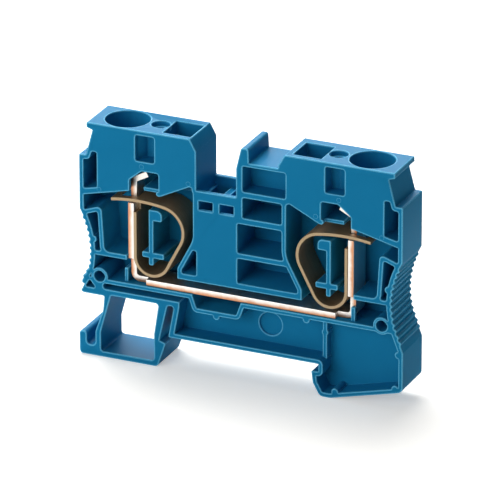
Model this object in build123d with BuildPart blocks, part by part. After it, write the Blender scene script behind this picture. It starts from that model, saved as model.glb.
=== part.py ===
"""Two-wire spring terminal block, open on its near side.

Frame, in millimetres: X along the block, Y through its thickness, Z up.
The origin is under the middle of the block, on the plane that both feet stand on.
The open side faces -Y. Depths are measured from that side, and spans from the middle.
"""
import os
from math import asin, cos, degrees, radians, sin, sqrt, tan

from build123d import *

# Overall size
length = 71.5
thickness = 10.2
height = 51.1
end_step = 0.3
half_length = length / 2
body_half = half_length - end_step
sides = (-1, 1)

# Walls of the moulding, and the depths that they leave
skin = 0.95
web = 1.4
back_wall = 1.3
chamber_back_wall = 2.2
tower_wall = 1.0
tube_wall = 0.75
corner_radius = 0.5
pocket_round = 0.4
rib_root = 0.3
chamber_depth = thickness - chamber_back_wall
pocket_depth = thickness - back_wall
web_depth = (thickness - web) / 2

# Carrier strip that the feet clip round
carrier_width = 35.0
carrier_clearance = 0.2
carrier_left = -carrier_width / 2 - 0.3
carrier_right = carrier_left + carrier_width + carrier_clearance
seat_height = 7.0

# Current bar
bar_thickness = 1.3
bar_inset = 0.45
bar_back_gap = 1.35
bar_width = chamber_depth - bar_inset - bar_back_gap
bar_floor = 17.35
bar_top = bar_floor + bar_thickness
wire_room = 10.65
leg_outside = body_half - wire_room
leg_inside = leg_outside - bar_thickness
leg_top = height - 16.2
neck_reach = 3.9
neck_cut = 1.3
neck_top = bar_top + 4.05
neck_bend_radius = 1.35
tip_near_cut = 1.55
tip_far_cut = 0.55
tip_bend_height = height - 11.6
tip_reach = 3.0
tip_slope = 28
tip_bend_radius = 1.05

# Clamping springs
spring_thickness = 0.65
spring_inset = 0.3
spring_back_gap = 0.2
spring_width = chamber_depth - spring_inset - spring_back_gap
spring_leg_top = leg_top - 1.8
spring_floor_gap = 0.75
lower_bend_radius = 4.0
lower_bend_height = bar_top + spring_floor_gap + lower_bend_radius
upper_bend_radius = 5.5
flank_lean = 27.7
arm_rise = 10
arm_radius = 34.0
arm_height = leg_top + 0.55
arm_overhang = 3.75
arm_end = leg_outside + arm_overhang
window_length = 4.1
window_near_rail = 1.4
window_far_rail = 1.4
window_overlap = 0.3
tongue_width = 3.2
tongue_top = leg_top - 0.3

# The flank is as long as the arm's height asks, the spring bulges that far inwards, and the arm
# sweeps until it reaches over the wire
lean_sine = sin(radians(flank_lean))
lean_cosine = cos(radians(flank_lean))
flank_rise = (arm_height - lower_bend_height - upper_bend_radius * cos(radians(arm_rise))
              + (lower_bend_radius - upper_bend_radius) * lean_sine)
flank_length = flank_rise / lean_cosine
spring_bulge = (leg_inside - lower_bend_radius - upper_bend_radius - flank_length * lean_sine
                + (upper_bend_radius - lower_bend_radius) * lean_cosine)
rise_sine = sin(radians(arm_rise))
arm_start = spring_bulge + upper_bend_radius * (1 - rise_sine)
arm_sweep = arm_rise + degrees(asin((arm_end - arm_start) / arm_radius - rise_sine))

# Clamp chambers
bulge_room = 2.0
bend_room = 1.8
flank_run = 3.5
flank_foot = leg_inside - 2 * lower_bend_radius - bend_room
chamber_inside = min(spring_bulge - bulge_room, flank_foot - flank_run)
flank_foot_height = bar_top + 3.95
flank_top_height = height - 21.85
flank_round = 0.9 * (flank_top_height - flank_foot_height)
chamber_peak = height - 10.0
notch_inside = leg_outside - 7.0
notch_outside = leg_outside - 0.5
notch_top = height - 8.7
notch_slope_width = 2.8
notch_slope_height = 2.3
tower_point = notch_inside - 0.3
tower_nose_radius = 0.55
tower_point_height = height - 13.6
tower_point_rise = 0.6
tower_edge_inner = height - 13.4
tower_edge_outer = height - 16.1
wire_rib_peak = height - 17.8
wire_rib_end = height - 19.55
wire_rib_top_span = body_half - 4.9
wire_rib_foot_span = body_half - 5.5
floor_rib_top = 23.5
floor_rib = 1.05
floor_rib_inside = leg_outside + 0.15
plate_foot = bar_top + 1.65
tip_clearance = 0.2

# Upper body and towers
ledge_height = height - 7.1
ledge_inside = body_half - 1.55
lean_top = body_half - 3.05
lip_reach = body_half - 1.75
lip_thickness = 1.1
lip_height = 1.5
tower_inside = chamber_inside - 0.7
chamfer_width = 1.4
chamfer_height = 2.5
rim_height = height - 10.9
shelf_height = height - 3.1
shelf_end = tower_inside - 1.0

# Post in the middle, between the towers
post_left = -0.7
post_right = 2.1
post_shoulder = height - 4.6
post_tip_left = 0.4
post_tip_right = 1.95
post_round = 0.6

# Grip walls at both ends
grip_waist = body_half - 2.45
grip_radius = 18.3
grip_centre = grip_waist + grip_radius
grip_middle = 22.9
grip_left_end = grip_middle - 3.5
grip_right_end = grip_middle - 5.3
tooth_radius = 0.42
tooth_sink = 0.14
tooth_pitch = 1.35
tooth_top = grip_middle + 7.3

# Holes in the tops of the towers
funnel_span = (leg_outside + wire_rib_foot_span) / 2 - 0.575
funnel_radius = thickness / 2 - 0.45
funnel_shoulder = height - 6.7
wire_radius = 2.2
wire_guide_top = height - 8.5
test_span = leg_outside - 5.3
test_mouth_radius = 1.95
test_mouth_depth = 1.0
test_bore_radius = 1.25
driver_inside = chamber_inside + 1.0
driver_width = 6.1
driver_inset = 1.3
driver_depth = thickness - 3.4
driver_bottom = height - 14.5

# Pockets in the near walls of the towers
panel_inside = test_span - 0.8
panel_width = 4.2
panel_bottom = height - 6.6
panel_top = height - 1.0
panel_depth = thickness / 3
side_pocket_inside = body_half - 3.95
side_pocket_bottom = height - 13.8
side_pocket_slope = 0.9
side_pocket_top = height - 6.2

# Stem inside each spring, with its hook and cross foot
stem = 1.0
stem_inside = leg_inside - 4.5
stem_bottom = bar_top + 3.55
cross = 1.2
cross_bottom = stem_bottom + 1.6
cross_inside = stem_inside - 2.3
cross_outside = stem_inside + 2.5
hook_top = height - 16.8
hook_reach = 1.9
hook_height = 2.3
hook_round = 1.1

# Stops that close the test bores, and nubs that keep the bar in its channel
test_stop = 0.8
test_stop_inset = 2.0
test_stop_outside = notch_inside + 4.2
test_stop_bottom = height - 13.7
nub_top = bar_top + 1.65
nub_inset = 0.95
left_nub_gap = 0.3
left_nub = 0.75
left_nub_end = 4.1
right_nub_gap = -0.75
right_nub = 0.9
right_nub_end = bar_inset + neck_cut

# Boss rings that take the pegs of an end cover
ring_span = body_half - 4.35
ring_height = 17.8
ring_radius = 1.85
ring_bore_radius = 1.2
ring_bore_depth = 3.5

# Bridge shafts between the left tower and the post
shaft_right = post_left
shaft_wall = 0.9
shaft_room = tower_inside + shaft_right
shaft_middle = (shaft_right - tower_inside) / 2
shaft_breadth = thickness - 2 * shaft_wall
shaft_width = 0.352 * shaft_room
shaft_spacing = 0.523 * shaft_room
shaft_divider_top = rim_height - 2.1
catch_height = 2.0

# Ladder of pockets beside the shafts; the top pocket goes only as deep as the web
ladder_lefts = (-0.45, -0.45, 0.7)
ladder_rights = (flank_foot, chamber_inside, chamber_inside)
ladder_bottom = plate_foot + 1.3
top_pocket_floor = height - 9.4
top_pocket_top = height - 3.9
top_pocket_right = tower_inside + 0.6
ladder_room = top_pocket_floor - ladder_bottom
ladder_floors = [ladder_bottom + share * ladder_room for share in (0, 0.328, 0.716)]
ladder_tops = [ladder_bottom + share * ladder_room for share in (0.269, 0.647, 0.935)]

# Beam under the bar, with its trough
beam_bottom = bar_floor - skin
trough_left = -tower_inside - 1.0
trough_right = 0.3
trough_lean = 1.0
trough_depth = 2.85

# Left foot, which springs, with its release lug
corner_bottom = 13.6
corner_end = 5.35 - body_half
foot_shoulder = corner_end - 0.3
foot_shoulder_height = corner_bottom - 3.2
corner_flare_top = 15.6
corner_pocket_left = 1.05 - body_half
corner_pocket_width = 2.5
corner_pocket_floor = 15.0
corner_pocket_height = 1.8
corner_pocket_peak = corner_pocket_left + 1.05
slot_left = 5.15 - body_half
slot_height = 1.25
slot_bottom = beam_bottom - slot_height
slot_reach = 0.4
slot_round = 0.55
foot_beam = 1.2
foot_beam_bottom = slot_bottom - foot_beam
arm = 1.2
arm_top = carrier_left + 3.3
arm_right = arm_top + arm
arm_foot = carrier_left + 2.0
arm_slot = 1.45
toe_height = 5.4
toe_right = carrier_left + 1.4
toe_lip = 0.5
sole_right = carrier_left - 0.4
foot_left = 3.6 - half_length
foot_wall = 1.2
foot_floor = 1.2
foot_window_left = corner_end + foot_wall + 0.3
foot_window_right = arm_top - arm_slot - foot_wall - 0.8
lug_top = 5.1
lug = 1.6
lug_slot_floor = 2.2

# Right foot, which is fixed
nose = carrier_right - 1.6
nose_height = 5.3
nose_chin = 2.6
nose_lean = 0.4
sole_left = carrier_right + 0.3
sole_flat_end = carrier_right + 2.6
sole_end_height = 4.0
right_wall_top = 12.6
brace_height = 2.2
brace_pad_height = beam_bottom - 3.2
brace_pad_radius = 0.7
dimple_span = 5.0
dimple_height = 11.9
dimple_radius = 2.5
dimple_depth = 0.6

# Small round bosses left on the ribs where the moulding is pushed out
pad_radius = 0.75
grip_pad_span = body_half - 3.0
grip_pad_height = 25.8
web_pads = [
    ((trough_left + trough_right) / 2, bar_floor - 3.9),
    (carrier_right - 2.7, beam_bottom - 0.15),
    (sole_left + 3.3, 1.5),
    (half_length - 1.65, sole_end_height + 0.5),
    (half_length - 1.0, right_wall_top - 0.6),
]

near_face = Plane.XZ.offset(thickness / 2)
top_face = Plane.XY.offset(height)
inward = (0, 1, 0)
outward = (0, -1, 0)


def behind(depth):
    """Plane parallel to the near face, that far behind it."""
    return near_face.offset(-depth)


def rows_outline(rows):
    """Closed straight-sided face through rows of x, z and corner radius."""
    points = [(x, z) for x, z, radius in rows]
    with BuildLine(Plane.XY) as outline:
        FilletPolyline(*points, radius=[radius for x, z, radius in rows], close=True)
    make_face(outline.line.edges())


def both_sides(rows):
    """The same outline at the right end of the block and mirrored at the left."""
    rows_outline(rows)
    rows_outline([(-x, z, radius) for x, z, radius in rows])


def box_outline(left, right, bottom, top, radius=0):
    """Upright rectangle between four named edges."""
    rows_outline([
        (left, bottom, radius), (right, bottom, radius),
        (right, top, radius), (left, top, radius),
    ])


def round_corners(radius):
    """Round every outer corner of the sketch by shrinking and growing it."""
    offset(amount=-radius, kind=Kind.INTERSECTION)
    offset(amount=radius)


def cut(shape, depth):
    """Cut a sketch straight into the block."""
    extrude(shape.sketch, amount=depth, dir=inward, mode=Mode.SUBTRACT)


def grip_span(z):
    """How far the bare grip wall is from the middle of the block at one height."""
    return grip_centre - sqrt(grip_radius ** 2 - (z - grip_middle) ** 2)


# Silhouette of the moulding, seen from the near side
left_end = [
    (-lip_reach, height - lip_thickness, 0.2),
    (-lean_top, height - lip_height, 0),
    (-ledge_inside, ledge_height, 0),
    (-body_half, ledge_height, 0.3),
    (-body_half, grip_middle, 0),
    (-grip_span(grip_left_end), grip_left_end, 0),
    (-body_half, corner_flare_top, 0.5),
    (-body_half, corner_bottom, 0.9),
    (corner_end, corner_bottom, 0.3),
]
left_foot = [
    (foot_shoulder, foot_shoulder_height, 0),
    (foot_left, toe_height, 0),
    (foot_left, lug_slot_floor, 0.9),
    (-half_length + lug, lug_slot_floor, 0.9),
    (-half_length + lug, lug_top, 0.7),
    (-half_length, lug_top, 0.7),
    (-half_length, 0, 0.8),
    (sole_right, 0, 1.0),
    (toe_right, toe_height, 0.2),
    (carrier_left, toe_height + toe_lip, 0.2),
    (arm_top - arm_slot, foot_beam_bottom, 0.6),
    (arm_top, foot_beam_bottom, 0.6),
    (arm_foot, seat_height, 0.2),
]
right_foot = [
    (carrier_right, seat_height, 0.2),
    (carrier_right, nose_height, 0.2),
    (nose, nose_height, 0.3),
    (nose + nose_lean, nose_height - nose_chin, 1.5),
    (sole_left, 0, 1.3),
    (sole_flat_end, 0, 3.0),
    (half_length, sole_end_height, 1.3),
    (half_length, right_wall_top, 0.9),
]
right_end = [
    (grip_span(grip_right_end), grip_right_end, 0),
    (body_half, grip_middle, 0),
    (body_half, ledge_height, 0.3),
    (ledge_inside, ledge_height, 0),
    (lean_top, height - lip_height, 0),
    (lip_reach, height - lip_thickness, 0.2),
    (lip_reach, height, 0.2),
]
middle_top = [
    (shelf_end + chamfer_width, height, 0),
    (shelf_end, height - chamfer_height, 0),
    (shelf_end, shelf_height, 0),
    (post_right, shelf_height, 0),
    (post_tip_right, height, post_round),
    (post_tip_left, height, post_round),
    (post_left, post_shoulder, 0),
    (post_left, rim_height, 0),
    (-tower_inside, rim_height, 0),
    (-tower_inside, height - chamfer_height, 0),
    (-tower_inside - chamfer_width, height, 0),
    (-lip_reach, height, 0.2),
]

with BuildSketch(near_face) as silhouette:
    rows_outline(left_end + left_foot + right_foot + right_end + middle_top)
    with Locations(*[(side * grip_centre, grip_middle) for side in sides]):
        Circle(grip_radius, mode=Mode.SUBTRACT)
    # The walls flare out straight below the hollows
    rows_outline([
        (-grip_waist, grip_left_end, 0),
        (-grip_span(grip_left_end), grip_left_end, 0),
        (-body_half, corner_flare_top, 0.5),
        (-grip_waist, corner_flare_top, 0),
    ])
    rows_outline([
        (grip_waist, grip_right_end, 0),
        (grip_span(grip_right_end), grip_right_end, 0),
        (half_length, right_wall_top, 0.9),
        (half_length, seat_height, 0),
        (grip_waist, seat_height, 0),
    ])

with BuildSketch(near_face) as inside:
    add(silhouette.sketch_local)
    offset(amount=-skin)

trough_rows = [
    (trough_left, bar_floor, 0),
    (trough_left + trough_lean, bar_floor - trough_depth, 0.3),
    (trough_right - trough_lean, bar_floor - trough_depth, 0.3),
    (trough_right, bar_floor, 0),
]

# Outline of a clamp chamber at the right end
chamber_rows = [
    (flank_foot, bar_floor, 0),
    (flank_foot, flank_foot_height, 1.2),
    (chamber_inside, flank_top_height, flank_round),
    (chamber_inside, chamber_peak, 0.7),
    (tower_point, tower_point_height, 0.3),
    (notch_inside, tower_point_height + tower_point_rise, 0),
    (notch_inside, notch_top, 0.5),
    (notch_outside - notch_slope_width, notch_top, 0.5),
    (notch_outside, notch_top - notch_slope_height, 0.5),
    (notch_outside, tower_edge_inner, 0),
    (body_half, tower_edge_outer, 0),
    (body_half, wire_rib_end, 0),
    (wire_rib_top_span, wire_rib_peak, 0.9),
    (wire_rib_foot_span, floor_rib_top, 1.1),
    (floor_rib_inside, floor_rib_top, 0.2),
    (floor_rib_inside, floor_rib_top - floor_rib, 0.2),
    (body_half, floor_rib_top - floor_rib, 0),
    (body_half, bar_floor, 0),
]
ring_places = [(side * ring_span, ring_height) for side in sides]
nose_places = [(side * notch_inside, tower_point_height + tower_nose_radius) for side in sides]

# Stems that the moulding leaves standing inside the springs, up to the near face
with BuildSketch(near_face) as stems:
    both_sides([
        (stem_inside, stem_bottom, 0.3), (stem_inside + stem, stem_bottom, 0.3),
        (stem_inside + stem, hook_top, 0.3), (stem_inside, hook_top, 0),
    ])
    both_sides([
        (cross_inside, cross_bottom, 0.3), (cross_outside, cross_bottom, 0.3),
        (cross_outside, cross_bottom + cross, 0.3), (cross_inside, cross_bottom + cross, 0.3),
    ])
    both_sides([
        (stem_inside + stem / 2, hook_top - hook_height, 0),
        (stem_inside + stem / 2, hook_top, 0),
        (stem_inside - hook_reach, hook_top, hook_round),
        (stem_inside - hook_reach, hook_top - hook_height, 0.4),
    ])

with BuildSketch(near_face) as chambers:
    both_sides(chamber_rows)
    box_outline(-flank_foot, flank_foot, bar_floor, plate_foot)
    rows_outline(trough_rows)
    add(inside.sketch_local, mode=Mode.INTERSECT)
    add(stems.sketch_local, mode=Mode.SUBTRACT)
    with Locations(*ring_places):
        Circle(ring_radius, mode=Mode.SUBTRACT)
    with Locations(*nose_places):
        Circle(tower_nose_radius, mode=Mode.SUBTRACT)

with BuildSketch(near_face) as chamber_walls:
    both_sides(chamber_rows)
    offset(amount=skin)

with BuildSketch(near_face) as trough_walls:
    rows_outline(trough_rows)
    offset(amount=skin)

# Deep blind pockets: the ladder, its left counterpart, and those behind the grip walls
with BuildSketch(near_face) as deep_pockets:
    for floor, top, left, right in zip(ladder_floors, ladder_tops, ladder_lefts, ladder_rights):
        box_outline(left, right, floor, top)
    box_outline(-flank_foot, -tower_inside, ladder_floors[0], ladder_tops[0])
    both_sides([
        (wire_rib_foot_span, floor_rib_top - floor_rib, 0),
        (body_half, floor_rib_top - floor_rib, 0),
        (body_half, wire_rib_peak, 0),
        (wire_rib_foot_span, wire_rib_peak, 0),
    ])
    add(chamber_walls.sketch_local, mode=Mode.SUBTRACT)
    add(inside.sketch_local, mode=Mode.INTERSECT)
    round_corners(pocket_round)
    with Locations(*[(side * grip_pad_span, grip_pad_height) for side in sides]):
        Circle(pad_radius, mode=Mode.SUBTRACT)
    rows_outline([
        (corner_pocket_left, corner_pocket_floor, 0.3),
        (corner_pocket_left + corner_pocket_width, corner_pocket_floor, 0.3),
        (corner_pocket_peak, corner_pocket_floor + corner_pocket_height, 0.3),
    ])

# Shallow pockets on both sides of the web
with BuildSketch(near_face) as recess:
    rows_outline([
        (arm_foot + arm, 0, 0),
        (half_length, 0, 0),
        (half_length, beam_bottom, 0),
        (arm_right, beam_bottom, 0),
        (arm_right, foot_beam_bottom, 0),
        (arm_foot + arm, seat_height, 0),
    ])
    add(inside.sketch_local, mode=Mode.INTERSECT)
    add(trough_walls.sketch_local, mode=Mode.SUBTRACT)
    with Locations(*ring_places):
        Circle(ring_radius, mode=Mode.SUBTRACT)
    with Locations(*web_pads):
        Circle(pad_radius, mode=Mode.SUBTRACT)
    box_outline(ladder_lefts[-1], top_pocket_right, top_pocket_floor, top_pocket_top, pocket_round)

# Openings right through the block
with BuildSketch(near_face) as openings:
    rows_outline([
        (slot_left, slot_bottom, slot_round),
        (arm_right + slot_reach, slot_bottom, 0),
        (arm_right + slot_reach, beam_bottom, 0),
        (slot_left, beam_bottom, slot_round),
    ])
    rows_outline([
        (foot_window_left, foot_beam_bottom, 0.5),
        (foot_window_right, foot_beam_bottom, 0.6),
        (carrier_left - foot_wall, seat_height, 0),
        (carrier_left - foot_wall, foot_floor, 0.7),
        (foot_left + foot_wall, foot_floor, 0.6),
        (foot_left + foot_wall, toe_height, 0),
    ])

# Pockets in the near walls of the towers, which leave the tubes of the holes standing
with BuildPart() as tower_pockets:
    with BuildSketch(near_face) as panels:
        both_sides([
            (panel_inside, panel_bottom, corner_radius),
            (panel_inside + panel_width, panel_bottom, corner_radius),
            (panel_inside + panel_width, panel_top, corner_radius),
            (panel_inside, panel_top, corner_radius),
        ])
    extrude(amount=-panel_depth)
    with BuildSketch(near_face) as side_pockets:
        both_sides([
            (side_pocket_inside, side_pocket_bottom, 0),
            (body_half, side_pocket_bottom - side_pocket_slope, 0),
            (body_half, side_pocket_top, 0),
            (side_pocket_inside, side_pocket_top, 0),
        ])
        add(inside.sketch_local, mode=Mode.INTERSECT)
        round_corners(pocket_round)
    extrude(amount=-pocket_depth)
    with BuildSketch(top_face) as tubes:
        with Locations(*[(side * funnel_span, 0) for side in sides]):
            Circle(funnel_radius + tube_wall)
        with Locations(*[(side * test_span, 0) for side in sides]):
            Circle(test_bore_radius + tube_wall)
    extrude(amount=-height, mode=Mode.SUBTRACT)


def tooth_places(side, arc_end, flare_x, flare_z):
    """Middles of the ribs down one grip wall, an equal pitch apart."""
    with BuildLine(Plane.XY) as wall:
        arc = ThreePointArc(
            (side * grip_span(tooth_top), tooth_top),
            (side * grip_waist, grip_middle),
            (side * grip_span(arc_end), arc_end),
        )
        Line(arc @ 1, (side * flare_x, flare_z))
    path = wall.wire()
    count = int(path.length / tooth_pitch)
    points = [path.position_at(number * tooth_pitch / path.length) for number in range(count)]
    return [(point.X - side * tooth_sink, point.Y) for point in points]


with BuildPart() as housing:
    # Solid block, with the gripping ribs along both ends
    extrude(silhouette.sketch, amount=thickness, dir=inward)
    with BuildSketch(near_face) as teeth:
        with Locations(*tooth_places(-1, grip_left_end, body_half, corner_flare_top)):
            Circle(tooth_radius)
        with Locations(*tooth_places(1, grip_right_end, half_length, right_wall_top)):
            Circle(tooth_radius)
    extrude(amount=-thickness)

    # Open chambers, pockets and slots
    cut(chambers, chamber_depth)
    cut(deep_pockets, pocket_depth)
    cut(recess, web_depth)
    extrude(recess.sketch.moved(Location((0, thickness, 0))), amount=web_depth, dir=outward,
            mode=Mode.SUBTRACT)
    cut(openings, thickness)
    with BuildSketch(near_face) as ring_bores:
        with Locations(*ring_places):
            Circle(ring_bore_radius)
    extrude(amount=-ring_bore_depth, mode=Mode.SUBTRACT)
    with BuildSketch(behind(web_depth)) as dimple:
        with Locations((dimple_span, dimple_height)):
            Circle(dimple_radius)
    extrude(amount=-dimple_depth, mode=Mode.SUBTRACT)

    # Tower insides: pockets, the room for the bar's tips, and the holes from the top
    add(tower_pockets.part, mode=Mode.SUBTRACT)
    with BuildSketch(behind(tower_wall)) as tip_rooms:
        both_sides([
            (notch_inside, tower_edge_outer, 0),
            (leg_outside + tip_clearance, tower_edge_outer, 0),
            (leg_outside + tip_clearance, notch_top, 0),
            (notch_inside, notch_top, 0),
        ])
    extrude(amount=tower_wall - chamber_depth, mode=Mode.SUBTRACT)
    hanging = (Align.CENTER, Align.CENTER, Align.MAX)
    with Locations(*[(side * funnel_span, 0, height) for side in sides]):
        Cylinder(funnel_radius, height - funnel_shoulder, align=hanging, mode=Mode.SUBTRACT)
    with Locations(*[(side * funnel_span, 0, funnel_shoulder) for side in sides]):
        Cone(wire_radius, funnel_radius, funnel_shoulder - wire_guide_top, align=hanging,
             mode=Mode.SUBTRACT)
    with Locations(*[(side * funnel_span, 0, wire_guide_top) for side in sides]):
        Cylinder(wire_radius, wire_guide_top - tower_edge_outer, align=hanging, mode=Mode.SUBTRACT)
    with Locations(*[(side * test_span, 0, height) for side in sides]):
        CounterBoreHole(test_bore_radius, test_mouth_radius, test_mouth_depth,
                        height - notch_top + corner_radius)
    with BuildSketch(top_face) as driver_holes:
        driver_middle = -thickness / 2 + driver_inset + driver_depth / 2
        driver_centre = driver_inside + driver_width / 2
        with Locations(*[(side * driver_centre, driver_middle) for side in sides]):
            Rectangle(driver_width, driver_depth)
    extrude(amount=driver_bottom - height, mode=Mode.SUBTRACT)

    # Bridge shafts, one wide mouth over two narrow shafts with catch windows
    with BuildSketch(Plane.XY.offset(rim_height)) as shaft_mouth:
        with Locations((shaft_middle, 0)):
            Rectangle(shaft_room, shaft_breadth)
    extrude(amount=shaft_divider_top - rim_height, mode=Mode.SUBTRACT)
    with BuildSketch(Plane.XY.offset(shaft_divider_top)) as shafts:
        with Locations((shaft_middle, 0)):
            with GridLocations(shaft_spacing, 1, 2, 1):
                Rectangle(shaft_width, shaft_breadth)
    extrude(amount=plate_foot - shaft_divider_top, mode=Mode.SUBTRACT)
    with BuildSketch(near_face) as catches:
        with Locations((shaft_middle, shaft_divider_top - catch_height / 2)):
            with GridLocations(shaft_spacing, 1, 2, 1):
                Rectangle(shaft_width, catch_height)
    extrude(amount=-shaft_wall, mode=Mode.SUBTRACT)

    # Ribs that stand inside the chambers, rooted in the wall behind
    with BuildSketch(behind(test_stop_inset)) as test_stops:
        both_sides([
            (notch_inside, test_stop_bottom, 0), (test_stop_outside, test_stop_bottom, 0),
            (test_stop_outside, test_stop_bottom + test_stop, 0),
            (notch_inside, test_stop_bottom + test_stop, 0),
        ])
    extrude(amount=test_stop_inset - chamber_depth - rib_root)
    with BuildSketch(behind(nub_inset)) as left_nub_shape:
        left_nub_right = -leg_outside - left_nub_gap
        box_outline(left_nub_right - left_nub, left_nub_right, bar_floor - rib_root, nub_top)
    extrude(amount=nub_inset - left_nub_end)
    with BuildSketch(behind(nub_inset)) as right_nub_shape:
        right_nub_left = leg_outside + right_nub_gap
        box_outline(right_nub_left, right_nub_left + right_nub, bar_floor - rib_root, nub_top)
    extrude(amount=nub_inset - right_nub_end)
    with BuildSketch(behind(web_depth - brace_height)) as brace:
        box_outline(carrier_right, carrier_right + skin, seat_height + skin / 2, beam_bottom)
        with Locations((carrier_right + skin / 2, brace_pad_height)):
            Circle(brace_pad_radius)
    extrude(amount=-brace_height - rib_root)
housing.part.label = "housing"


with BuildPart() as current_bar:
    with BuildSketch(behind(bar_inset)) as bar_section:
        leg_middle = leg_outside - bar_thickness / 2
        bar_middle = bar_floor + bar_thickness / 2
        tip_end = leg_middle - tip_reach
        tip_end_height = tip_bend_height + tip_reach * tan(radians(tip_slope))
        with BuildLine() as bar_line:
            FilletPolyline(
                (-tip_end, tip_end_height), (-leg_middle, tip_bend_height),
                (-leg_middle, bar_middle), (leg_middle, bar_middle),
                (leg_middle, tip_bend_height), (tip_end, tip_end_height),
                radius=[tip_bend_radius, neck_bend_radius, neck_bend_radius, tip_bend_radius],
            )
        trace(line_width=bar_thickness)
    extrude(amount=-bar_width)
    with BuildSketch(behind(bar_inset)) as neck_cuts:
        both_sides([
            (leg_outside - neck_reach, bar_floor, 0), (leg_outside, bar_floor, 0),
            (leg_outside, neck_top, 0), (leg_outside - neck_reach, neck_top, 0),
        ])
    extrude(amount=-neck_cut, mode=Mode.SUBTRACT)
    with BuildSketch(behind(bar_inset)) as near_tip_cut:
        box_outline(-leg_outside, leg_outside, leg_top, notch_top)
    extrude(amount=-tip_near_cut, mode=Mode.SUBTRACT)
    with BuildSketch(behind(bar_inset + bar_width - tip_far_cut)) as far_tip_cut:
        box_outline(-leg_outside, leg_outside, leg_top, notch_top)
    extrude(amount=-tip_far_cut, mode=Mode.SUBTRACT)
current_bar.part.label = "current_bar"


with BuildPart() as clamp_spring_right:
    with BuildSketch(behind(spring_inset)) as spring_section:
        with BuildLine() as spring_line:
            half_strip = spring_thickness / 2
            leg = Line((leg_inside - half_strip, spring_leg_top),
                       (leg_inside - half_strip, lower_bend_height))
            lower = JernArc(leg @ 1, leg % 1, lower_bend_radius - half_strip, flank_lean - 180)
            flank = Line(lower @ 1, lower @ 1 + (lower % 1) * flank_length)
            upper = JernArc(flank @ 1, flank % 1, upper_bend_radius - half_strip,
                            arm_rise - 90 - flank_lean)
            JernArc(upper @ 1, upper % 1, arm_radius - half_strip, -arm_sweep)
        trace(line_width=spring_thickness)
    extrude(amount=-spring_width)
    with BuildSketch(Plane.XY.offset(leg_top)) as window:
        window_breadth = spring_width - window_near_rail - window_far_rail
        window_middle = -thickness / 2 + spring_inset + window_near_rail + window_breadth / 2
        with Locations((leg_inside - window_overlap + window_length / 2, window_middle)):
            RectangleRounded(window_length, window_breadth, corner_radius)
    extrude(amount=height - leg_top, mode=Mode.SUBTRACT)
    with BuildSketch(behind(spring_inset + (spring_width - tongue_width) / 2)) as tongue:
        box_outline(leg_inside - spring_thickness, leg_inside, spring_leg_top - tongue_width, tongue_top)
    extrude(amount=-tongue_width)
clamp_spring_right.part.label = "clamp_spring_right"


with BuildPart() as clamp_spring_left:
    add(mirror(clamp_spring_right.part, about=Plane.YZ, mode=Mode.PRIVATE))
clamp_spring_left.part.label = "clamp_spring_left"


os.makedirs("parts", exist_ok=True)
export_step(housing.part, "parts/housing.step")
export_step(current_bar.part, "parts/current_bar.step")
export_step(clamp_spring_left.part, "parts/clamp_spring_left.step")
export_step(clamp_spring_right.part, "parts/clamp_spring_right.step")
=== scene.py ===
"""Spring terminal block: moulded housing, current bar and clamp springs, dressed for a studio view.

Sizes are in metres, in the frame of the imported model: X along the block, Y through it, Z up.
"""

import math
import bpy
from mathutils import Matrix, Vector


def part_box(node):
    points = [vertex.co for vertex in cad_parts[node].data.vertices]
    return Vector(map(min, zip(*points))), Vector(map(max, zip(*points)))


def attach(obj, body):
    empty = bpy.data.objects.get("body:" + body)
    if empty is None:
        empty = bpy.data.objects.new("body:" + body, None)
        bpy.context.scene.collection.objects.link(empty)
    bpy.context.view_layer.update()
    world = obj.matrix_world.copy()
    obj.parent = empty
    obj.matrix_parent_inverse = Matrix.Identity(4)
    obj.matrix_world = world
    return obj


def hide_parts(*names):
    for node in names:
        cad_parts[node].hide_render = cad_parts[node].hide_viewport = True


bl_info = {
    "name": "Spring Terminal Block",
    "version": (1, 0, 0),
    "blender": (4, 5, 0),
    "location": "View3D > Sidebar > Terminal Block",
    "description": "Dresses a spring clamp terminal block with moulded, plated and rolled finishes",
    "category": "Object",
}

import bmesh
import bpy
from mathutils import Vector

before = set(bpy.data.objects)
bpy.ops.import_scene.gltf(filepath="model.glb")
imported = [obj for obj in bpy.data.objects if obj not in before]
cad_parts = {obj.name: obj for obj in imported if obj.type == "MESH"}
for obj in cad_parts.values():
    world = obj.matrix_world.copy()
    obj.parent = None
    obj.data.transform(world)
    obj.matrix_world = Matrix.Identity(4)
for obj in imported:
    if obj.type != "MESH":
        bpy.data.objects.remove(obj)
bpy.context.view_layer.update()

MM = 0.001
# Corners of the boxes round the housing and round the current bar
LOW, HIGH = (Vector(corner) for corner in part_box("housing"))
BAR_LOW, BAR_HIGH = (Vector(corner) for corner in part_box("current_bar"))
# Corners nearer than this are one, and triangles that lean less than this make one face
SAME_CORNER = 0.002 * MM
SAME_FACE = math.radians(0.6)
# Edges sharper than this are rounded, in this many steps
SHARP = math.radians(30)
ROUND_STEPS = 2


# Colours and small helpers

def colour(hex_value, alpha=1.0):
    """Linear colour of an sRGB hex value such as "1B74A8"."""
    channels = [int(hex_value[place:place + 2], 16) / 255 for place in (0, 2, 4)]
    linear = [c / 12.92 if c <= 0.04045 else ((c + 0.055) / 1.055) ** 2.4 for c in channels]
    return (*linear, alpha)


def node(tree, kind, inputs=None, **settings):
    """Add a node with its settings; inputs hold values, or sockets to link from."""
    new = tree.nodes.new(kind)
    for name, value in settings.items():
        setattr(new, name, value)
    for name, value in (inputs or {}).items():
        socket = new.inputs[name]
        if isinstance(value, bpy.types.NodeSocket):
            tree.links.new(value, socket)
        else:
            socket.default_value = value
    return new


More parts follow.
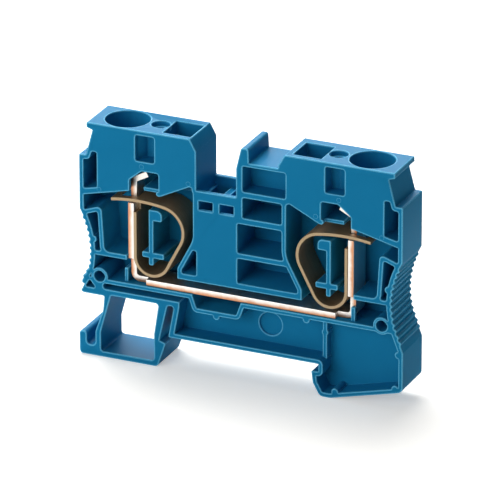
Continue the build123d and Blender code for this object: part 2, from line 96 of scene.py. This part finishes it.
def new_material(name):
    """Empty material with a node tree, and its surface output."""
    material = bpy.data.materials.new(name)
    material.use_nodes = True
    tree = material.node_tree
    tree.nodes.clear()
    return material, tree, node(tree, "ShaderNodeOutputMaterial")


def new_piece(name, mesh):
    """Object in the scene with a mesh, at the origin."""
    piece = bpy.data.objects.new(name, mesh)
    bpy.context.scene.collection.objects.link(piece)
    return piece


def merged_copy(cad_name, name):
    """Mesh piece with the shape of a CAD node, its triangles joined to whole faces."""
    shape = bmesh.new()
    shape.from_mesh(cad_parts[cad_name].data)
    bmesh.ops.remove_doubles(shape, verts=shape.verts, dist=SAME_CORNER)
    bmesh.ops.dissolve_limit(shape, angle_limit=SAME_FACE, verts=shape.verts, edges=shape.edges)
    mesh = bpy.data.meshes.new(name)
    shape.to_mesh(mesh)
    shape.free()
    return new_piece(name, mesh)


def round_edges(piece, width):
    """Round every sharp edge, and shade the piece smooth between them."""
    bevel = piece.modifiers.new("Rounded edges", "BEVEL")
    bevel.width = width
    bevel.segments = ROUND_STEPS
    bevel.limit_method = "ANGLE"
    bevel.angle_limit = SHARP
    # Clamped, the shortest edge would keep every rounding small; slid, a corner could fold a flat face over
    bevel.use_clamp_overlap = False
    bevel.loop_slide = False
    bevel.miter_outer = "MITER_ARC"
    bevel.harden_normals = True
    piece.data.shade_smooth()
    piece.data.set_sharp_from_angle(angle=SHARP)


def new_group(name, inputs):
    """Geometry Nodes group with named inputs, and the sockets of its input and output nodes."""
    group = bpy.data.node_groups.new(name, "GeometryNodeTree")
    group.interface.new_socket("Geometry", in_out="OUTPUT", socket_type="NodeSocketGeometry")
    for label, kind in inputs:
        group.interface.new_socket(label, in_out="INPUT", socket_type="NodeSocket" + kind)
    return group, node(group, "NodeGroupInput").outputs, node(group, "NodeGroupOutput").inputs


def piece_from_group(name, group, values, places=()):
    """Plain mesh piece made by a Geometry Nodes group; places are the points that it may start from."""
    start = bpy.data.meshes.new(name + "_start")
    start.from_pydata(places, [], [])
    maker = new_piece(name + "_maker", start)
    modifier = maker.modifiers.new("Maker", "NODES")
    modifier.node_group = group
    for socket in group.interface.items_tree:
        if socket.in_out == "INPUT" and socket.name in values:
            modifier[socket.identifier] = values[socket.name]
    graph = bpy.context.evaluated_depsgraph_get()
    mesh = bpy.data.meshes.new_from_object(maker.evaluated_get(graph))
    mesh.name = name
    bpy.data.objects.remove(maker)
    return new_piece(name, mesh)


def finish_piece(piece, material, slot, *replaced):
    """Give a piece its material and its body, and hide the CAD nodes that it stands for; slot is not used."""
    piece.data.materials.clear()
    piece.data.materials.append(material)
    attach(piece, "root")
    if replaced:
        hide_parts(*replaced)


# Finishes

def moulded_polyamide(name, settings, edge_highlight_width):
    """Blue polyamide 6.6, injection moulded: satin, with a fine spark-eroded grain from the tool."""
    material, tree, output = new_material(name)
    place = node(tree, "ShaderNodeTexCoord").outputs["Object"]
    # Faint flow marks, about as wide as the block is thick
    flow_width = 9 * MM
    flow = node(tree, "ShaderNodeTexNoise", {"Vector": place, "Scale": 1 / flow_width, "Detail": 3.0})
    body = node(tree, "ShaderNodeMix", {"Factor": flow.outputs["Fac"], "A": settings.housing_colour,
                                        "B": settings.housing_light}, data_type="RGBA")
    # Painted highlight: every convex outer edge is tinted paler, in place of the light that rounded edges
    # catch
    inside = node(tree, "ShaderNodeAmbientOcclusion", {"Distance": edge_highlight_width}, samples=8,
                  inside=True, only_local=True)
    edge = node(tree, "ShaderNodeMapRange", {"Value": inside.outputs["AO"], "From Min": 0.97,
                                             "From Max": 0.78})
    base = node(tree, "ShaderNodeMix", {"Factor": edge.outputs["Result"], "A": body.outputs["Result"],
                                        "B": settings.edge_highlight_colour}, data_type="RGBA")
    # The tool's grain is finer than this; drawn coarser, so that it shows
    grain_width = 0.35 * MM
    grain = node(tree, "ShaderNodeTexNoise", {"Vector": place, "Scale": 1 / grain_width, "Detail": 2.0})
    bump = node(tree, "ShaderNodeBump", {"Height": grain.outputs["Fac"], "Strength": 0.12,
                                         "Distance": 0.02 * MM})
    rough = node(tree, "ShaderNodeMapRange", {"Value": flow.outputs["Fac"], "To Min": 0.36, "To Max": 0.44})
    shader = node(tree, "ShaderNodeBsdfPrincipled", {
        "Base Color": base.outputs["Result"], "Roughness": rough.outputs["Result"],
        "Normal": bump.outputs["Normal"], "IOR": 1.53, "Specular IOR Level": 0.009})
    tree.links.new(shader.outputs["BSDF"], output.inputs["Surface"])
    return material


def tinned_copper(settings):
    """Copper strip, tin plated before it was stamped: bright faces, and copper at the cut edges.

    The punch drags tin over the inner half of each cut edge, so that copper shows along the outer half only.
    """
    material, tree, output = new_material("Tinned copper strip")
    coords = node(tree, "ShaderNodeTexCoord")
    place = node(tree, "ShaderNodeSeparateXYZ", {"Vector": coords.outputs["Object"]}).outputs
    smear_width = 1.6 * MM
    smear = node(tree, "ShaderNodeTexNoise", {"Vector": coords.outputs["Object"], "Scale": 1 / smear_width,
                                              "Detail": 4.0})
    # Distance outwards from the middle of the strip's thickness, at the legs or at the floor bar
    half = settings.bar_thickness / 2
    span = node(tree, "ShaderNodeMath", {0: place["X"]}, operation="ABSOLUTE")
    past_leg = node(tree, "ShaderNodeMath", {0: span.outputs["Value"], 1: BAR_HIGH.x - half},
                    operation="SUBTRACT")
    below = node(tree, "ShaderNodeMath", {0: BAR_LOW.z + half, 1: place["Z"]}, operation="SUBTRACT")
    outward = node(tree, "ShaderNodeMath", {0: past_leg.outputs["Value"], 1: below.outputs["Value"]},
                   operation="MAXIMUM")
    # The border between tin and copper wanders by this much to either side
    wander = 0.35 * MM
    drag = node(tree, "ShaderNodeMapRange", {"Value": smear.outputs["Fac"], "To Min": -wander,
                                             "To Max": wander})
    ragged = node(tree, "ShaderNodeMath", {0: outward.outputs["Value"], 1: drag.outputs["Result"]})
    bare = node(tree, "ShaderNodeMapRange", {"Value": ragged.outputs["Value"], "From Min": -0.3 * MM,
                                             "From Max": 0.35 * MM})
    facing = node(tree, "ShaderNodeSeparateXYZ", {"Vector": coords.outputs["Normal"]})
    sideways = node(tree, "ShaderNodeMath", {0: facing.outputs["Y"]}, operation="ABSOLUTE")
    cut_edge = node(tree, "ShaderNodeMapRange", {"Value": sideways.outputs["Value"], "From Min": 0.5,
                                                 "From Max": 0.8})
    copper = node(tree, "ShaderNodeMath", {0: bare.outputs["Result"], 1: cut_edge.outputs["Result"]},
                  operation="MULTIPLY")
    base = node(tree, "ShaderNodeMix", {"Factor": copper.outputs["Value"], "A": settings.tin_colour,
                                        "B": settings.copper_colour}, data_type="RGBA")
    rough = node(tree, "ShaderNodeMapRange", {"Value": smear.outputs["Fac"], "To Min": 0.3, "To Max": 0.42})
    shader = node(tree, "ShaderNodeBsdfPrincipled", {
        "Base Color": base.outputs["Result"], "Metallic": 1.0, "Roughness": rough.outputs["Result"]})
    tree.links.new(shader.outputs["BSDF"], output.inputs["Surface"])
    return material


def rolled_spring_steel(settings):
    """Hardened spring strip: bronze-brown rolled faces from tempering, and paler slit edges."""
    material, tree, output = new_material("Rolled spring steel")
    coords = node(tree, "ShaderNodeTexCoord")
    # Rolling lines run along the strip; drawn coarser than they are, so that they show
    line_width = 0.9 * MM
    stretched = node(tree, "ShaderNodeMapping", {"Vector": coords.outputs["Object"],
                                                 "Scale": (0.15, 3.0, 0.15)})
    lines = node(tree, "ShaderNodeTexNoise", {"Vector": stretched.outputs["Vector"], "Scale": 1 / line_width,
                                              "Detail": 3.0})
    facing = node(tree, "ShaderNodeSeparateXYZ", {"Vector": coords.outputs["Normal"]})
    sideways = node(tree, "ShaderNodeMath", {0: facing.outputs["Y"]}, operation="ABSOLUTE")
    slit_edge = node(tree, "ShaderNodeMapRange", {"Value": sideways.outputs["Value"], "From Min": 0.5,
                                                  "From Max": 0.8})
    face = node(tree, "ShaderNodeMix", {"Factor": lines.outputs["Fac"], "A": settings.bronze_colour,
                                        "B": settings.straw_colour}, data_type="RGBA")
    base = node(tree, "ShaderNodeMix", {"Factor": slit_edge.outputs["Result"], "A": face.outputs["Result"],
                                        "B": settings.slit_colour}, data_type="RGBA")
    rough = node(tree, "ShaderNodeMapRange", {"Value": lines.outputs["Fac"], "To Min": 0.45, "To Max": 0.58})
    bump = node(tree, "ShaderNodeBump", {"Height": lines.outputs["Fac"], "Strength": 0.1,
                                         "Distance": 0.01 * MM})
    shader = node(tree, "ShaderNodeBsdfPrincipled", {
        "Base Color": base.outputs["Result"], "Metallic": 0.7, "Roughness": rough.outputs["Result"],
        "Normal": bump.outputs["Normal"]})
    tree.links.new(shader.outputs["BSDF"], output.inputs["Surface"])
    return material


def background_rays(tree):
    """1 for rays from the camera and through gloss or glass, which see the studio white; 0 for the rest."""
    path = node(tree, "ShaderNodeLightPath").outputs
    first = node(tree, "ShaderNodeMath", {0: path["Is Camera Ray"], 1: path["Is Glossy Ray"]},
                 operation="MAXIMUM")
    return node(tree, "ShaderNodeMath", {0: first.outputs["Value"], 1: path["Is Transmission Ray"]},
                operation="MAXIMUM").outputs["Value"]


def white_paper(settings):
    """Matt white paper sweep: shown white to the camera, and it keeps the block's shadow."""
    material, tree, output = new_material("White paper sweep")
    paper = node(tree, "ShaderNodeBsdfDiffuse", {"Color": settings.paper_colour})
    lift = node(tree, "ShaderNodeMath", {0: background_rays(tree), 1: settings.paper_lift},
                operation="MULTIPLY")
    glow = node(tree, "ShaderNodeEmission", {"Strength": lift.outputs["Value"]})
    both = node(tree, "ShaderNodeAddShader", {0: paper.outputs["BSDF"], 1: glow.outputs["Emission"]})
    tree.links.new(both.outputs["Shader"], output.inputs["Surface"])
    return material


# What repeats

def ribs_group():
    """Ribs at an equal pitch down a wall: round an arc first, then straight on from the arc's foot."""
    group, given, result = new_group("Gripping ribs", (
        ("Wall top", "Vector"), ("Wall waist", "Vector"), ("Arc foot", "Vector"), ("Flare foot", "Vector"),
        ("Pitch", "Float"), ("Rib radius", "Float"), ("Rib length", "Float"), ("Rib sides", "Int"),
        ("Finish", "Material")))
    arc = node(group, "GeometryNodeCurveArc", {
        "Resolution": 96, "Start": given["Wall top"], "Middle": given["Wall waist"],
        "End": given["Arc foot"]}, mode="POINTS").outputs["Curve"]
    flare = node(group, "GeometryNodeCurvePrimitiveLine", {
        "Start": given["Arc foot"], "End": given["Flare foot"]}).outputs["Curve"]
    arc_length = node(group, "GeometryNodeCurveLength", {"Curve": arc}).outputs["Length"]
    flare_length = node(group, "GeometryNodeCurveLength", {"Curve": flare}).outputs["Length"]
    length = node(group, "ShaderNodeMath", {0: arc_length, 1: flare_length}).outputs["Value"]
    pitches = node(group, "ShaderNodeMath", {0: length, 1: given["Pitch"]}, operation="DIVIDE")
    count = node(group, "FunctionNodeFloatToInt", {"Float": pitches.outputs["Value"]}, rounding_mode="FLOOR")
    ribs = node(group, "GeometryNodePoints", {"Count": count.outputs["Integer"]})
    number = node(group, "GeometryNodeInputIndex").outputs["Index"]
    along = node(group, "ShaderNodeMath", {0: number, 1: given["Pitch"]},
                 operation="MULTIPLY").outputs["Value"]
    past = node(group, "ShaderNodeMath", {0: along, 1: arc_length}, operation="SUBTRACT").outputs["Value"]
    on_arc = node(group, "GeometryNodeSampleCurve", {"Curves": arc, "Length": along}, mode="LENGTH")
    on_flare = node(group, "GeometryNodeSampleCurve", {"Curves": flare, "Length": past}, mode="LENGTH")
    is_past = node(group, "ShaderNodeMath", {0: past, 1: 0.0}, operation="GREATER_THAN")
    place = node(group, "GeometryNodeSwitch", {
        "Switch": is_past.outputs["Value"], "False": on_arc.outputs["Position"],
        "True": on_flare.outputs["Position"]}, input_type="VECTOR")
    placed = node(group, "GeometryNodeSetPosition", {"Geometry": ribs.outputs["Points"],
                                                     "Position": place.outputs["Output"]})
    rib = node(group, "GeometryNodeMeshCylinder", {
        "Vertices": given["Rib sides"], "Radius": given["Rib radius"], "Depth": given["Rib length"]})
    standing = node(group, "GeometryNodeInstanceOnPoints", {
        "Points": placed.outputs["Geometry"], "Instance": rib.outputs["Mesh"],
        "Rotation": (math.radians(90), 0, 0)})
    real = node(group, "GeometryNodeRealizeInstances", {"Geometry": standing.outputs["Instances"]})
    dressed = node(group, "GeometryNodeSetMaterial", {"Geometry": real.outputs["Geometry"],
                                                      "Material": given["Finish"]})
    group.links.new(dressed.outputs["Geometry"], result["Geometry"])
    return group


def marks_group():
    """A flat round mark at each given point, its face turned to the open side."""
    group, given, result = new_group("Tool marks", (
        ("Places", "Geometry"), ("Mark radius", "Float"), ("Mark depth", "Float"), ("Finish", "Material")))
    places = node(group, "GeometryNodeMeshToPoints", {"Mesh": given["Places"]})
    mark = node(group, "GeometryNodeMeshCylinder", {
        "Vertices": 28, "Radius": given["Mark radius"], "Depth": given["Mark depth"]})
    standing = node(group, "GeometryNodeInstanceOnPoints", {
        "Points": places.outputs["Points"], "Instance": mark.outputs["Mesh"],
        "Rotation": (math.radians(90), 0, 0)})
    real = node(group, "GeometryNodeRealizeInstances", {"Geometry": standing.outputs["Instances"]})
    dressed = node(group, "GeometryNodeSetMaterial", {"Geometry": real.outputs["Geometry"],
                                                      "Material": given["Finish"]})
    group.links.new(dressed.outputs["Geometry"], result["Geometry"])
    return group


# Settings that a user would change

def swatch(name, description, hex_value):
    """Colour setting, given as an sRGB hex value."""
    return bpy.props.FloatVectorProperty(name=name, description=description, subtype="COLOR", size=4,
                                         min=0, max=1, default=colour(hex_value))


def length(name, description, millimetres):
    """Length setting, given in millimetres."""
    return bpy.props.FloatProperty(name=name, description=description, unit="LENGTH", precision=5,
                                   default=millimetres * MM)


class HousingSettings(bpy.types.PropertyGroup):
    """Rounding and colours of the moulding."""
    edge_round: length("Edge round", "Radius of the moulding's edges", 0.12)
    # Width of the painted highlight along the moulding's convex edges
    edge_highlight_width: length("Pale width", "How far the paler tint of an edge reaches", 0.34)
    housing_colour: swatch("Plastic", "Colour of the moulding", "1475A3")
    housing_light: swatch("Plastic, light", "Lighter colour in the flow marks", "1A7BA9")
    # Colour of the painted highlight on convex edges
    edge_highlight_colour: swatch("Edge", "Colour of thin outer edges", "63BCE2")


class RibSettings(bpy.types.PropertyGroup):
    """Sizes of the gripping ribs and of the wall that they stand on."""
    rib_radius: length("Rib radius", "Radius of a gripping rib", 0.44)
    rib_pitch: length("Rib pitch", "Distance between gripping ribs", 1.35)
    rib_sink: length("Rib sink", "How far a rib's middle lies inside the bare wall", 0.14)
    rib_end: length("Rib end", "How far a rib stops short of each side of the block", 0.03)
    hollow_radius: length("Hollow radius", "Radius of the hollow that the grip wall follows", 18.3)
    waist: length("Waist", "From the middle of the block to the hollow's deepest line", 33.0)
    waist_height: length("Waist height", "Height of the hollow's deepest line", 22.9)
    top_height: length("Top height", "Height of the uppermost rib", 30.2)
    left_arc: length("Left arc", "How far below the waist the springing end leaves its hollow", 3.5)
    right_arc: length("Right arc", "How far below the waist the fixed end leaves its hollow", 5.3)
    left_flare: length("Left flare", "Height of the springing end's flare foot", 15.6)
    right_flare: length("Right flare", "Height of the fixed end's flare foot", 12.6)
    left_step: length("Left step", "How far the springing end's flare stays inside the block's end", 0.3)
    edge_round: length("Edge round", "Radius of the ribs' end edges", 0.08)


class MarkSettings(bpy.types.PropertyGroup):
    """Sizes of the small round marks."""
    mark_radius: length("Mark radius", "Radius of a round mark", 0.5)
    mark_height: length("Mark height", "How far a mark stands out of its face", 0.04)
    mark_depth: length("Mark depth", "From a mark's face to its foot inside the moulding", 0.4)
    # Width of the painted highlight round a mark's rim
    edge_highlight_width: length("Pale width", "How far the paler tint of a mark's rim reaches", 0.08)
    edge_round: length("Edge round", "Radius of a mark's edge", 0.03)


class BarSettings(bpy.types.PropertyGroup):
    """Rounding, thickness and colours of the current bar."""
    edge_round: length("Edge round", "Radius of the stamped edges", 0.12)
    bar_thickness: length("Thickness", "Thickness of the strip", 1.3)
    tin_colour: swatch("Tin", "Colour of the plated faces", "E4E0DA")
    copper_colour: swatch("Copper", "Colour of the bare half of a cut edge", "C08A68")


class SpringSettings(bpy.types.PropertyGroup):
    """Rounding and colours of the clamp springs."""
    edge_round: length("Edge round", "Radius of the strip's edges", 0.08)
    bronze_colour: swatch("Bronze", "Darker tempering tint of the rolled faces", "8A6C4C")
    straw_colour: swatch("Straw", "Paler tempering tint of the rolled faces", "A88C68")
    slit_colour: swatch("Slit edge", "Colour of the slit edges", "A08C6E")


class StageSettings(bpy.types.PropertyGroup):
    """Paper, light level and camera of the stage."""
    paper_colour: swatch("Paper", "Colour of the sweep", "F7F4EE")
    paper_lift: bpy.props.FloatProperty(
        name="Paper lift", description="Light added to the paper for the camera", default=0.4)
    air_light: bpy.props.FloatProperty(
        name="Air light", description="Strength of the light from all round the block", default=0.13)
    azimuth: bpy.props.FloatProperty(
        name="Azimuth", description="How far right of the open side the camera stands", subtype="ANGLE",
        default=math.radians(24))
    elevation: bpy.props.FloatProperty(
        name="Elevation", description="How far the camera looks down", subtype="ANGLE",
        default=math.radians(23))
    distance: bpy.props.FloatProperty(
        name="Distance", description="From the camera to the block", unit="LENGTH", default=1.28)
    lens: bpy.props.FloatProperty(name="Lens", description="Focal length in millimetres", default=457.4)


# Pieces

class TERMINAL_OT_housing(bpy.types.Operator):
    """Make the moulded housing with its rounded edges"""
    bl_idname = "terminal.housing"
    bl_label = "Moulded housing"

    def execute(self, context):
        settings = context.scene.terminal_housing
        housing = merged_copy("housing", "moulded_housing")
        round_edges(housing, settings.edge_round)
        plastic = moulded_polyamide("Moulded blue polyamide", settings, settings.edge_highlight_width)
        finish_piece(housing, plastic, "housing_plastic", "housing")
        return {"FINISHED"}


class TERMINAL_OT_grip_ribs(bpy.types.Operator):
    """Make the gripping ribs down both ends of the housing"""
    bl_idname = "terminal.grip_ribs"
    bl_label = "Gripping ribs"

    def execute(self, context):
        settings = context.scene.terminal_ribs
        plastic = bpy.data.objects["moulded_housing"].data.materials[0]
        group = ribs_group()

        def wall(height):
            """How far the bare grip wall is from the middle of the block at one height."""
            drop = height - settings.waist_height
            return settings.waist + settings.hollow_radius - math.sqrt(
                settings.hollow_radius ** 2 - drop ** 2)

        # The springing end leaves its hollow higher up than the fixed end, and flares less
        ends = {
            "left": (-1, settings.waist_height - settings.left_arc, HIGH.x - settings.left_step,
                     settings.left_flare),
            "right": (1, settings.waist_height - settings.right_arc, HIGH.x, settings.right_flare),
        }
        rib_length = HIGH.y - LOW.y - 2 * settings.rib_end
        for end, (side, arc_foot, flare_reach, flare_foot) in ends.items():
            rows = ((wall(settings.top_height), settings.top_height), (settings.waist, settings.waist_height),
                    (wall(arc_foot), arc_foot), (flare_reach, flare_foot))
            top, waist, foot, flare = ((side * (reach - settings.rib_sink), 0, height)
                                       for reach, height in rows)
            ribs = piece_from_group("grip_ribs_" + end, group, {
                "Wall top": top, "Wall waist": waist, "Arc foot": foot, "Flare foot": flare,
                "Pitch": settings.rib_pitch, "Rib radius": settings.rib_radius,
                "Rib length": rib_length, "Rib sides": 20, "Finish": plastic})
            round_edges(ribs, settings.edge_round)
            finish_piece(ribs, plastic, "housing_plastic")
        return {"FINISHED"}


class TERMINAL_OT_tool_marks(bpy.types.Operator):
    """Make the small round marks that the moulding tool's pins leave"""
    bl_idname = "terminal.tool_marks"
    bl_label = "Tool marks"

    def execute(self, context):
        settings = context.scene.terminal_marks
        # The marks' material paints a narrow highlight round each mark's rim
        plastic = moulded_polyamide("Blue polyamide at a tool mark", context.scene.terminal_housing,
                                    settings.edge_highlight_width)
        near = LOW.y - settings.mark_height + settings.mark_depth / 2
        # How far along the block and how high each mark stands, in millimetres
        spots = ((-21.5, 43.4), (21.7, 43.4), (-11.2, 41.4), (16.7, 39.1), (-31.0, 36.9), (31.0, 36.9))
        marks = piece_from_group("tool_marks", marks_group(), {
            "Mark radius": settings.mark_radius, "Mark depth": settings.mark_depth, "Finish": plastic},
            places=[(x * MM, near, z * MM) for x, z in spots])
        round_edges(marks, settings.edge_round)
        finish_piece(marks, plastic, "housing_plastic")
        return {"FINISHED"}


class TERMINAL_OT_current_bar(bpy.types.Operator):
    """Make the tinned current bar"""
    bl_idname = "terminal.current_bar"
    bl_label = "Current bar"

    def execute(self, context):
        settings = context.scene.terminal_bar
        bar = merged_copy("current_bar", "tinned_bar")
        round_edges(bar, settings.edge_round)
        finish_piece(bar, tinned_copper(settings), "bar_metal", "current_bar")
        return {"FINISHED"}


class TERMINAL_OT_clamp_springs(bpy.types.Operator):
    """Make both folded clamp springs"""
    bl_idname = "terminal.clamp_springs"
    bl_label = "Clamp springs"

    def execute(self, context):
        settings = context.scene.terminal_spring
        steel = rolled_spring_steel(settings)
        for side in ("left", "right"):
            spring = merged_copy("clamp_spring_" + side, "folded_spring_" + side)
            round_edges(spring, settings.edge_round)
            finish_piece(spring, steel, "spring_steel", "clamp_spring_" + side)
        return {"FINISHED"}


def area_lamp(name, place, target, size, watts):
    """White soft box at a place, turned to a target."""
    lamp = bpy.data.lights.new(name, "AREA")
    lamp.shape = "RECTANGLE"
    lamp.size, lamp.size_y = size
    lamp.energy = watts
    box = bpy.data.objects.new(name, lamp)
    box.location = place
    box.rotation_euler = (Vector(target) - Vector(place)).to_track_quat("-Z", "Y").to_euler()
    bpy.context.scene.collection.objects.link(box)
    return box


class TERMINAL_OT_stage(bpy.types.Operator):
    """Make the paper sweep, the soft boxes and the camera"""
    bl_idname = "terminal.stage"
    bl_label = "Studio stage"

    def execute(self, context):
        settings = context.scene.terminal_stage
        # The sweep reaches past the picture on every side
        reach = 3.0
        mesh = bpy.data.meshes.new("paper_sweep")
        corners = [(-reach, -reach, 0), (reach, -reach, 0), (reach, reach, 0), (-reach, reach, 0)]
        mesh.from_pydata(corners, [], [(0, 1, 2, 3)])
        floor = new_piece("paper_sweep", mesh)
        mesh.materials.append(white_paper(settings))

        middle = Vector((0, 0, HIGH.z * 0.5))
        area_lamp("Overhead box", (-0.2, 0.22, 0.5), middle, (0.5, 0.4), 4.3)
        area_lamp("Front box", (-0.3, -0.7, 0.3), middle, (0.7, 0.45), 3.2)
        # The card lights nothing; it only shows in the gloss of what faces up
        card = area_lamp("Gloss card", (-0.35, 0.8, 0.45), middle, (0.9, 0.5), 19.0)
        card.visible_diffuse = False

        world = bpy.data.worlds.new("Studio air")
        world.use_nodes = True
        tree = world.node_tree
        tree.nodes.clear()
        strength = node(tree, "ShaderNodeMapRange", {
            "Value": background_rays(tree), "To Min": settings.air_light, "To Max": 1.0})
        background = node(tree, "ShaderNodeBackground", {"Color": colour("FFFFFF"),
                                                         "Strength": strength.outputs["Result"]})
        output = node(tree, "ShaderNodeOutputWorld")
        tree.links.new(background.outputs["Background"], output.inputs["Surface"])
        context.scene.world = world

        camera_data = bpy.data.cameras.new("Product camera")
        camera_data.lens = settings.lens
        camera_data.sensor_width = 36
        camera_data.clip_start = 0.05
        camera_data.clip_end = 20
        camera = bpy.data.objects.new("Product camera", camera_data)
        level = math.cos(settings.elevation)
        outward = Vector((math.sin(settings.azimuth) * level, -math.cos(settings.azimuth) * level,
                          math.sin(settings.elevation)))
        aim = Vector((0.12 * MM, 0, 27 * MM))
        camera.location = aim + outward * settings.distance
        camera.rotation_euler = (-outward).to_track_quat("-Z", "Y").to_euler()
        context.scene.collection.objects.link(camera)
        context.scene.camera = camera
        context.scene.view_settings.view_transform = "Standard"
        return {"FINISHED"}


class TERMINAL_PT_panel(bpy.types.Panel):
    """Sidebar list of the block's pieces"""
    bl_idname = "TERMINAL_PT_panel"
    bl_label = "Terminal Block"
    bl_space_type = "VIEW_3D"
    bl_region_type = "UI"
    bl_category = "Terminal Block"

    def draw(self, context):
        for operator in PIECE_OPERATORS:
            self.layout.operator(operator.bl_idname)


PIECE_OPERATORS = (TERMINAL_OT_stage, TERMINAL_OT_housing, TERMINAL_OT_grip_ribs, TERMINAL_OT_tool_marks,
                   TERMINAL_OT_current_bar, TERMINAL_OT_clamp_springs)
SETTINGS = {
    "terminal_housing": HousingSettings,
    "terminal_ribs": RibSettings,
    "terminal_marks": MarkSettings,
    "terminal_bar": BarSettings,
    "terminal_spring": SpringSettings,
    "terminal_stage": StageSettings,
}


def register():
    """Register the settings, the operators and the panel."""
    for group in (*SETTINGS.values(), *PIECE_OPERATORS, TERMINAL_PT_panel):
        bpy.utils.register_class(group)
    for name, group in SETTINGS.items():
        setattr(bpy.types.Scene, name, bpy.props.PointerProperty(type=group))


def unregister():
    """Take everything that register adds away again."""
    for name in SETTINGS:
        delattr(bpy.types.Scene, name)
    for group in (TERMINAL_PT_panel, *PIECE_OPERATORS, *SETTINGS.values()):
        bpy.utils.unregister_class(group)


def main():
    register()
    bpy.ops.terminal.stage()
    bpy.ops.terminal.housing()
    bpy.ops.terminal.grip_ribs()
    bpy.ops.terminal.tool_marks()
    bpy.ops.terminal.current_bar()
    bpy.ops.terminal.clamp_springs()


if __name__ == "__main__":
    main()
